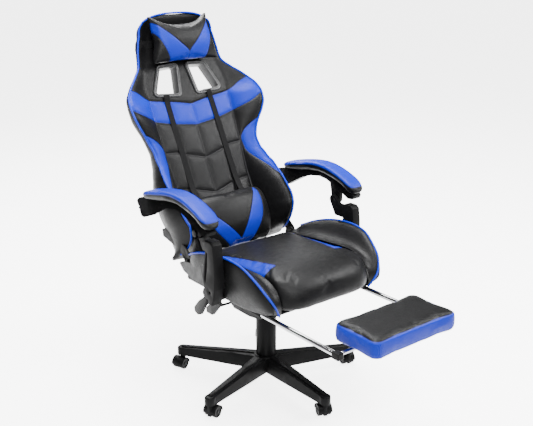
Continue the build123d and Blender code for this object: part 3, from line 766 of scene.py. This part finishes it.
def dress_head_pillow(piece):
    """Black top panel, blue band in a V and black lower corners."""
    x, n, v = to_back(vertices_mm(piece))
    ax = np.abs(x)
    band = np.minimum((ax - head_band_inner(v)) * 0.75, (head_band_outer(v) - ax) * 0.9)
    front = smoothstep(HEAD_EDGE_N - 8, HEAD_EDGE_N - 2, n)
    seam = np.minimum(np.abs(ax - head_band_inner(v)) * 0.75, np.abs(head_band_outer(v) - ax) * 0.9)
    centre = np.where(v < 704, ax, 99)
    seam = np.where(front > 0.5, np.minimum(seam, centre), 30)
    inside = smoothstep(0, 12, np.minimum(133 - ax, np.minimum(v - 680, 842 - v)))
    rim = np.abs(n - HEAD_EDGE_N + 6) + 60 * inside
    sewn(piece, np.minimum(seam, rim), 1.3)
    paint(piece, zone=np.where(front > 0.5, band, -5), seam=seam, along=v)
    place(piece, "backrest", MATERIALS["two_tone"], "black_leather", "head_pillow", fill=0.8)


lumbar_outer = curve_through([(0, 36), (10, 45), (32, 64), (69, 94), (110, 114), (150, 121), (174, 120),
                              (190, 112), (205, 100)])


LUMBAR_N, LUMBAR_V = -8, 102
# The black triangle's point is off centre to the right, and its right arm is flatter: the pillow sits askew.
LUMBAR_POINT_X, LUMBAR_POINT_V, LUMBAR_SLOPES = -11, 26, (0.92, 0.66)


def lumbar_pillow():
    """Bolster-shaped lumbar pillow: an oval section that narrows to rounded ends, thinner towards the seat."""
    x_at = 148 * np.sin(np.linspace(-1, 1, 72) * pi / 2)
    turn = np.linspace(0, 2 * pi, 88, endpoint=False)
    rings = []
    for x in x_at:
        r = abs(x) / 150
        height = 97 * (1 - 0.10 * r ** 4) * (1 - r ** 16) ** 0.5
        front, rear = 47 * (1 - 0.42 * r ** 2.5) * (1 - r ** 14) ** 0.5, 40 * (1 - r ** 10) ** 0.4
        c, s = np.cos(turn), np.sin(turn)
        depth = np.where(c > 0, front, rear)
        v = LUMBAR_V + (height + 4 * (s < 0)) * np.sign(s) * np.abs(s) ** 0.86 + 8 * r ** 3 * (s < 0)
        recede = 1 - 0.3 * (c > 0) * smoothstep(85, 12, v)
        n = LUMBAR_N + depth * np.sign(c) * np.abs(c) ** 0.8 * recede
        rings.append(from_back(np.full_like(n, x), n, v))
    return pad(loft("lumbar_pillow_soft", rings), 8)


def dress_lumbar_pillow(piece):
    """Black triangle in the centre, blue V band and black ends."""
    x, n, v = to_back(vertices_mm(piece))
    x = x - LUMBAR_POINT_X
    ax = np.abs(x)
    inner = (v - LUMBAR_POINT_V) * np.where(x < 0, *LUMBAR_SLOPES)
    band = np.minimum((ax - inner) * 0.85, (lumbar_outer(v) - ax) * 0.9)
    front = smoothstep(-14, -6, n)
    seam = np.where(front > 0.5, np.minimum(np.abs(ax - inner) * 0.85 + np.where(inner < 0, 50, 0),
                                            np.abs(lumbar_outer(v) - ax) * 0.9), 30)
    gusset = np.abs(ax - 140)
    sewn(piece, np.minimum(seam, gusset), 1.3)
    paint(piece, zone=np.where(front > 0.5, band, -5), seam=np.minimum(seam, gusset), along=v)
    place(piece, "backrest", MATERIALS["two_tone"], "black_leather", "lumbar_pillow", fill=0.8)


# ---------------------------------------------------------------- seat

SEAT_PIPING = (
    (238, 100, 490), (256, 50, 514), (262, -20, 537), (263, -90, 550), (260, -150, 553), (255, -205, 545),
    (246, -250, 519), (235, -288, 486), (214, -309, 445), (184, -298, 398))
SEAT_CREASE = (
    (172, 99, 474), (176, 40, 485), (178, -30, 493), (180, -100, 499), (182, -160, 503), (183, -215, 503),
    (183, -262, 490), (183, -292, 464), (182, -304, 430), (180, -298, 402))
SEAT_HEM = (
    (213, 94, 400), (224, 45, 399), (232, -15, 398), (236, -85, 398), (236, -140, 398), (232, -190, 398),
    (226, -225, 398), (216, -252, 398), (204, -272, 398), (188, -290, 398))
SEAT_HALF, SEAT_FLOOR = 180, 400
insert_inner = curve_through([
    (-205, 120), (-170, 128), (-120, 137), (-60, 146), (0, 156), (50, 166), (80, 173), (100, 180)])


def seat_cushion():
    """Centre of the seat with its rolled front, built from side profiles."""
    profile = path_through([(95, 402), (99, 440), (97, 474), (85, 485), (40, 491), (-30, 498), (-100, 504),
                            (-170, 509), (-225, 511), (-275, 505), (-313, 488), (-337, 463), (-346, 438),
                            (-342, 420), (-324, 410), (-280, 403), (-200, 400), (-60, 400), (60, 400)], 150)
    rings = []
    for u in np.sin(np.linspace(-1, 1, 61) * pi / 2):
        x, edge = SEAT_HALF * u, abs(u)
        y, z = profile[:, 0].copy(), profile[:, 1].copy()
        lift = smoothstep(430, 500, z)
        z += lift * (4 * (1 - edge ** 2) - 5 * edge ** 6)
        y += smoothstep(-250, -346, y) * 44 * edge ** 5
        squeeze = max(1 - edge ** 24, 0.0) ** 0.5
        z = 455 + (z - 455) * (0.86 + 0.14 * squeeze)
        rings.append(np.stack([np.full_like(y, x), y, z], axis=1))
    return pad(loft("seat_cushion_soft", rings), 6)


def insert_zone(x, y):
    """Positive inside the blue insert along the seat's crease."""
    ax = np.abs(x)
    tip = y - (-202 - (ax - 123) * 10 / 59)
    return np.minimum(np.minimum(ax - insert_inner(y), 181 - ax + 0 * y) * 0.95, tip)


def dress_seat_cushion(piece):
    points = vertices_mm(piece)
    x, y, z = points.T
    top = smoothstep(462, 474, z)
    zone = np.where(top > 0.5, insert_zone(x, y), -5)
    seam = np.where(top > 0.5, np.abs(insert_zone(x, y)), 30)
    sewn(piece, seam, 1.0)
    paint(piece, zone=zone, seam=seam, along=y)
    place(piece, "seat", MATERIALS["two_tone"], "black_leather", "seat_cushion", fill=0.9)


def seat_bolster(side, sign):
    """Side bolster between the crease, the piping and the lower edge."""
    count = 110
    crest, crease, hem = (path_through(p, count) for p in (SEAT_PIPING, SEAT_CREASE, SEAT_HEM))
    rings = []
    for i in range(count):
        s = i / (count - 1)
        end = smoothstep(0, 0.05, s) * smoothstep(1, 0.9, s)
        a, b, c = crease[i], crest[i], hem[i]
        t = np.linspace(0, 1, 34)[:, None]
        inner = a + (b - a) * t
        dish = -16 * np.sin(pi * t[:, 0]) ** 1.2 * (1 - t[:, 0] * 0.3) + 10 * np.sin(pi * t[:, 0] ** 2.5)
        inner[:, 2] += dish * smoothstep(20, 70, np.linalg.norm(b - a)) * end
        outer = b + (c - b) * t
        bulge = 14 * np.sin(pi * t[:, 0] ** 0.8) * end
        outer[:, 0] += bulge
        outer[:, 1] -= bulge * smoothstep(-190, -290, b[1])
        under = c + (a - c) * t
        under[:, 2] -= 6 * np.sin(pi * t[:, 0])
        under[:, 2] = np.maximum(under[:, 2], SEAT_FLOOR)
        ring = np.vstack([inner[:-1], outer[:-1], under[:-1]])
        ring[:, 0] *= sign
        rings.append(ring)
    piece = loft(f"seat_bolster_{side}_soft", rings)
    ease(piece, 2)
    points = vertices_mm(piece)
    paint(piece, zone=np.full(len(points), -5.0), seam=np.full(len(points), 30.0), along=points[:, 1])
    place(piece, "seat", MATERIALS["leather"], "black_leather", f"seat_bolster_{side}", fill=0.9)
    line = crest * np.array([sign, 1, 1]) + np.array([sign * 1.0, 0, 1.2])
    piping = tube(f"seat_piping_{side}", line, SEAT_PIPING_RADIUS, MATERIALS["piping"])
    place(piping, "seat", MATERIALS["piping"], "blue_leather")


# ---------------------------------------------------------------- armrests and footrest pad

# The pad's top line seen from the side, and the lower edge of its blue part: (y, z).
ARM_TOP = ((250, 678), (236, 687), (198, 699), (150, 710), (104, 719), (59, 724), (16, 722), (-26, 714),
           (-67, 701), (-97, 688), (-120, 671), (-131, 655))
arm_blue_edge = curve_through([
    (-140, 671), (-118, 673), (-97, 680), (-67, 692), (-26, 704), (16, 712), (59, 714), (104, 709),
    (150, 700), (198, 689), (262, 662)])
ARM_X, ARM_HALF, ARM_THICK = 298.0, 36.0, 27.0
ARM_SWELL, ARM_VOXEL = 4, 4.0


def arm_pad(side, sign):
    """Armrest pad: crowned along its top, with rounded ends, following the beam."""
    line = path_through(ARM_TOP, 90)
    tangent = np.gradient(line, axis=0)
    tangent /= np.linalg.norm(tangent, axis=1, keepdims=True)
    rings = []
    for i, (y, z) in enumerate(line):
        s = i / (len(line) - 1)
        end = (1 - abs(2 * s - 1) ** 9) ** 0.5
        half = ARM_HALF * (0.30 + 0.70 * end) * (1 - 0.07 * s)
        up = np.array([tangent[i, 1], -tangent[i, 0]])
        up = up if up[1] > 0 else -up
        turn = np.linspace(0, 2 * pi, 44, endpoint=False)
        c, q = np.cos(turn), np.sin(turn)
        across = half * np.sign(c) * np.abs(c) ** 0.55
        thick = ARM_THICK * (0.55 + 0.45 * end) * (1 + 0.25 * smoothstep(0.8, 1, s))
        height = -thick / 2 + thick / 2 * np.sign(q) * np.abs(q) ** 0.5
        ring = np.stack([sign * (ARM_X + across), y + up[0] * height, z + up[1] * height], axis=1)
        rings.append(ring)
    return pad(loft(f"arm_pad_{side}_soft", rings), ARM_SWELL, ARM_VOXEL)


def dress_arm_pad(piece, side):
    """Blue top; black sides with gathers where the pad bends."""
    points = vertices_mm(piece)
    line = path_through(ARM_TOP, 200)
    gap = np.hypot(points[:, None, 1] - line[None, :, 0], points[:, None, 2] - line[None, :, 1])
    near = gap.argmin(axis=1)
    depth = gap[np.arange(len(points)), near]
    inward = np.abs(np.abs(points[:, 0]) - ARM_X)
    zone = np.clip(points[:, 2] - arm_blue_edge(points[:, 1]), -PAINT_LIMIT, PAINT_LIMIT)
    s = near / 199
    pleat = np.sin(near * 2.2) * smoothstep(0.34, 0.42, s) * smoothstep(0.74, 0.66, s)
    pleat = pleat * smoothstep(9, 12, depth) * smoothstep(24, 30, inward)
    moved = points.copy()
    moved[:, 0] += np.sign(points[:, 0]) * np.sign(np.abs(points[:, 0]) - ARM_X) * pleat * 0.8
    set_vertices_mm(piece, moved)
    seam = np.abs(zone)
    sewn(piece, seam, 1.0, 1.8)
    paint(piece, zone=zone, seam=np.maximum(seam, 0.9), along=points[:, 1])
    place(piece, f"armrest_{side}", MATERIALS["two_tone"], "blue_leather", f"arm_pad_{side}", fill=0.9)


def footrest_pad():
    """Footrest pad: a rounded, slightly puffed block."""
    rings = []
    rows = ((400, 8), (401.5, 4), (405, 1), (414, -1), (430, -1.5), (444, 0), (450, 2), (453.5, 6), (455, 13),
            (456, 30))
    outline = rounded_outline(((-170, -681), (170, -681), (170, -505), (-170, -505)), 26.0, steps=14)
    dense = []
    for i, p in enumerate(outline):
        q = outline[(i + 1) % len(outline)]
        steps = max(1, int(np.linalg.norm(q - p) / 6))
        dense += [p + (q - p) * k / steps for k in range(steps)]
    dense = np.array(dense)
    centre = dense.mean(0)
    for z, inset in rows:
        away = dense - centre
        ring = centre + away * (1 - inset / np.abs(away).max(axis=1, keepdims=True) * 0.9)
        rings.append(np.column_stack([ring, np.full(len(ring), z)]))
    return pad(loft("footrest_pad_soft", rings), 5)


def dress_footrest_pad(piece):
    """Black top and blue sides."""
    points = vertices_mm(piece)
    edge = np.minimum(172 - np.abs(points[:, 0]), 90 - np.abs(points[:, 1] + 593))
    below_top = 449.5 + 0.25 * np.clip(edge, 0, 8) - points[:, 2] + 1.0
    zone = np.where(points[:, 2] < 430, 4.0, np.minimum(below_top, 4))
    seam = np.abs(zone)
    sewn(piece, seam, 0.9, 1.8)
    paint(piece, zone=zone, seam=np.maximum(seam, 0.9), along=points[:, 0] + points[:, 1])
    place(piece, "footrest", MATERIALS["two_tone"], "black_leather", "footrest_pad", "footrest_board",
          fill=0.9)


# ---------------------------------------------------------------- straps

def ribbon(name, line, across, thickness=1.8):
    """A flat strap along a mm path; across is the half-width vector."""
    line = np.asarray(line, float)
    tangent = np.gradient(line, axis=0)
    tangent /= np.linalg.norm(tangent, axis=1, keepdims=True)
    wide = np.asarray(across, float)
    rings = []
    for p, t in zip(line, tangent):
        up = np.cross(t, wide)
        up = up / np.linalg.norm(up) * thickness / 2
        rings.append([p - wide - up * 0.6, p - wide + up * 0.6, p - wide * 0.9 + up, p + wide * 0.9 + up,
                      p + wide + up * 0.6, p + wide - up * 0.6, p + wide * 0.9 - up, p - wide * 0.9 - up])
    piece = loft(name, rings)
    points = vertices_mm(piece)
    run = np.concatenate([[0], np.cumsum(np.linalg.norm(np.diff(line, axis=0), axis=1))])
    near = np.array([np.linalg.norm(line - p, axis=1).argmin() for p in points])
    side = (points - line[near]) @ wide
    paint(piece, along=run[near], across=side / np.linalg.norm(wide))
    return piece


# Sideways, up and forward: up the front of the back, through a slot and down behind.
STRAP_ROUTE = (
    (95, 190, -50), (95, 240, -64), (94, 300, -67.5), (93, 380, -68.5), (92, 470, -70), (91, 535, -72),
    (90, 556, -72), (89, 567, -69.5), (88, 574, -69), (87.5, 580, -73), (87, 583, -84), (87, 583, -100),
    (87, 582, -116), (87, 560, -121), (87, 500, -122), (87, 430, -123), (88, 340, -128), (88, 300, -131))
STRAP_HALF_WIDTH, RIGHT_LEAN, LEFT_LEAN = 11, 8, -6


def lumbar_straps():
    """Straps from the lumbar pillow up over the back's front and into the slots."""
    def make(side, sign):
        path = path_through(STRAP_ROUTE, 120)
        top_lean = RIGHT_LEAN if sign < 0 else LEFT_LEAN
        lean = top_lean * smoothstep(220, 590, path[:, 1]) * smoothstep(-130, -90, path[:, 2])
        line = from_back(sign * (path[:, 0] + lean), path[:, 2], path[:, 1])
        strap = ribbon(f"lumbar_strap_{side}", line, (STRAP_HALF_WIDTH * sign, 0, 0))
        return place(strap, "backrest", MATERIALS["webbing"], "webbing")
    left = both_sides(make)[0]
    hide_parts("lumbar_straps")


def head_strap():
    """Elastic band round the top of the backrest."""
    def band(v):
        ring = back_ring(v)
        centre = ring.mean(0)
        away = ring - centre
        away /= np.linalg.norm(away, axis=1, keepdims=True)
        return ring, away
    rings = []
    for v, out in ((749, -1), (748.4, 1.2), (750, 2.2), (774, 2.2), (775.6, 1.2), (775, -1)):
        ring, away = band(v)
        rings.append(ring + away * out)
    piece = loft("head_strap_band", rings, closed_loop=True)
    x, _, v = to_back(vertices_mm(piece))
    paint(piece, along=x, across=v)
    place(piece, "backrest", MATERIALS["webbing"], "webbing", "head_strap")


# ---------------------------------------------------------------- stage and camera

FLOOR_HALF, FLOOR_GLOW, SKY_GLOW = 30, 4.6, 0.35
# Name, place in metres, size in metres, power in watts.
LIGHTS = (("key", (-1.2, -3.0, 3.0), 1.6, 470), ("fill", (2.3, -1.5, 2.7), 1.2, 400),
          ("rim", (0.8, 2.6, 2.8), 2.0, 380), ("top", (0, 0.2, 4.2), 2.2, 1250))
LIT_POINT = (0, 0, 0.6)


def stage():
    """Pale floor and soft studio light."""
    mesh = bpy.data.meshes.new("floor")
    corners = [(x * FLOOR_HALF, y * FLOOR_HALF, 0) for x, y in ((-1, -1), (1, -1), (1, 1), (-1, 1))]
    mesh.from_pydata(corners, [], [(0, 1, 2, 3)])
    floor = bpy.data.objects.new("floor", mesh)
    bpy.context.scene.collection.objects.link(floor)
    m = Nodes("studio_floor")
    m.link(m.mix(m.noise(0.8, 2), (0.30, 0.30, 0.30), (0.32, 0.32, 0.32)), m.shader.inputs["Base Color"])
    m.shader.inputs["Roughness"].default_value = 0.7
    m.shader.inputs["Emission Color"].default_value = (1, 1, 1, 1)
    m.shader.inputs["Emission Strength"].default_value = FLOOR_GLOW
    floor.data.materials.append(m.material)
    world = bpy.data.worlds.new("studio")
    world.use_nodes = True
    world.node_tree.nodes["Background"].inputs["Color"].default_value = (1, 1, 1, 1)
    world.node_tree.nodes["Background"].inputs["Strength"].default_value = SKY_GLOW
    bpy.context.scene.world = world
    for name, at, size, power in LIGHTS:
        light = bpy.data.lights.new(name, "AREA")
        light.size, light.energy = size, power
        lamp = bpy.data.objects.new(name, light)
        lamp.location = at
        lamp.rotation_euler = (Vector(LIT_POINT) - Vector(at)).to_track_quat("-Z", "Y").to_euler()
        bpy.context.scene.collection.objects.link(lamp)


def camera():
    """The viewpoint: above the chair and to its right front."""
    data = bpy.data.cameras.new("camera")
    data.sensor_width, data.lens = 36.0, 57.84
    data.shift_x, data.shift_y = 0.0204, -0.0057
    eye = bpy.data.objects.new("camera", data)
    azimuth, elevation, roll = radians(-37.681), radians(18.018), radians(-0.325)
    eye.location = (-1.66467, -2.10001, 1.49317)
    look = Vector((-sin(azimuth) * cos(elevation), cos(azimuth) * cos(elevation), -sin(elevation)))
    turn = look.to_track_quat("-Z", "Y").to_matrix() @ Matrix.Rotation(roll, 3, "Z")
    eye.rotation_euler = turn.to_euler()
    bpy.context.scene.collection.objects.link(eye)
    bpy.context.scene.camera = eye


stage()
camera()
finish_cad_nodes()
backrest()
bezels()
lumbar_straps()
head_strap()
both_sides(seat_bolster)
soft_head, soft_lumbar, soft_seat, soft_foot = head_pillow(), lumbar_pillow(), seat_cushion(), footrest_pad()
soft_left, soft_right = both_sides(arm_pad)
inflate_all()
dress_head_pillow(soft_head)
dress_lumbar_pillow(soft_lumbar)
dress_seat_cushion(soft_seat)
dress_footrest_pad(soft_foot)
dress_arm_pad(soft_left, "left")
dress_arm_pad(soft_right, "right")
